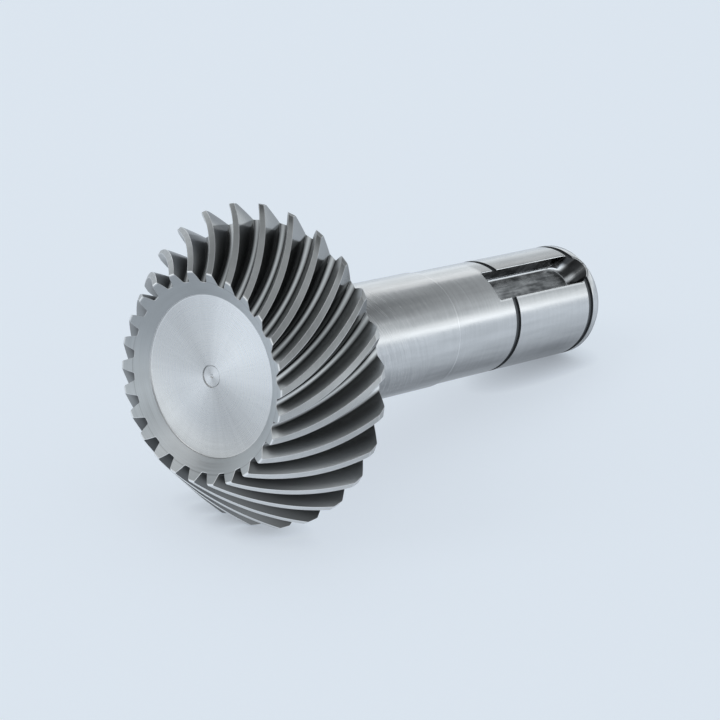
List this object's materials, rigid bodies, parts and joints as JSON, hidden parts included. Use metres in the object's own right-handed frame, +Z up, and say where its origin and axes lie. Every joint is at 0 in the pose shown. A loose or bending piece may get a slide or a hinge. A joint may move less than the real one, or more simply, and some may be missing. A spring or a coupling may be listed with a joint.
{
  "type": "pinion shaft",
  "caption": "Spiral bevel pinion made in one piece with its shaft, with a bearing seat, a keyway and two retaining-ring grooves at the driven end.",
  "frame": {"origin": "on the surface that the part lies on, under the middle of its bounding box", "axes": "+Z up; the shaft's axis lies in the XZ plane, from the gear's small end at -X to the shaft end at +X, and dips towards the shaft end because the gear is wider than the shaft"},
  "size_m": [0.0986, 0.053, 0.0519],
  "materials": {
    "steel": "case-hardening steel, teeth cut bright, shaft ground, toe face turned"
  },
  "bodies": {
    "root": {"pinion_shaft": "steel"}
  },
  "joints": []
}
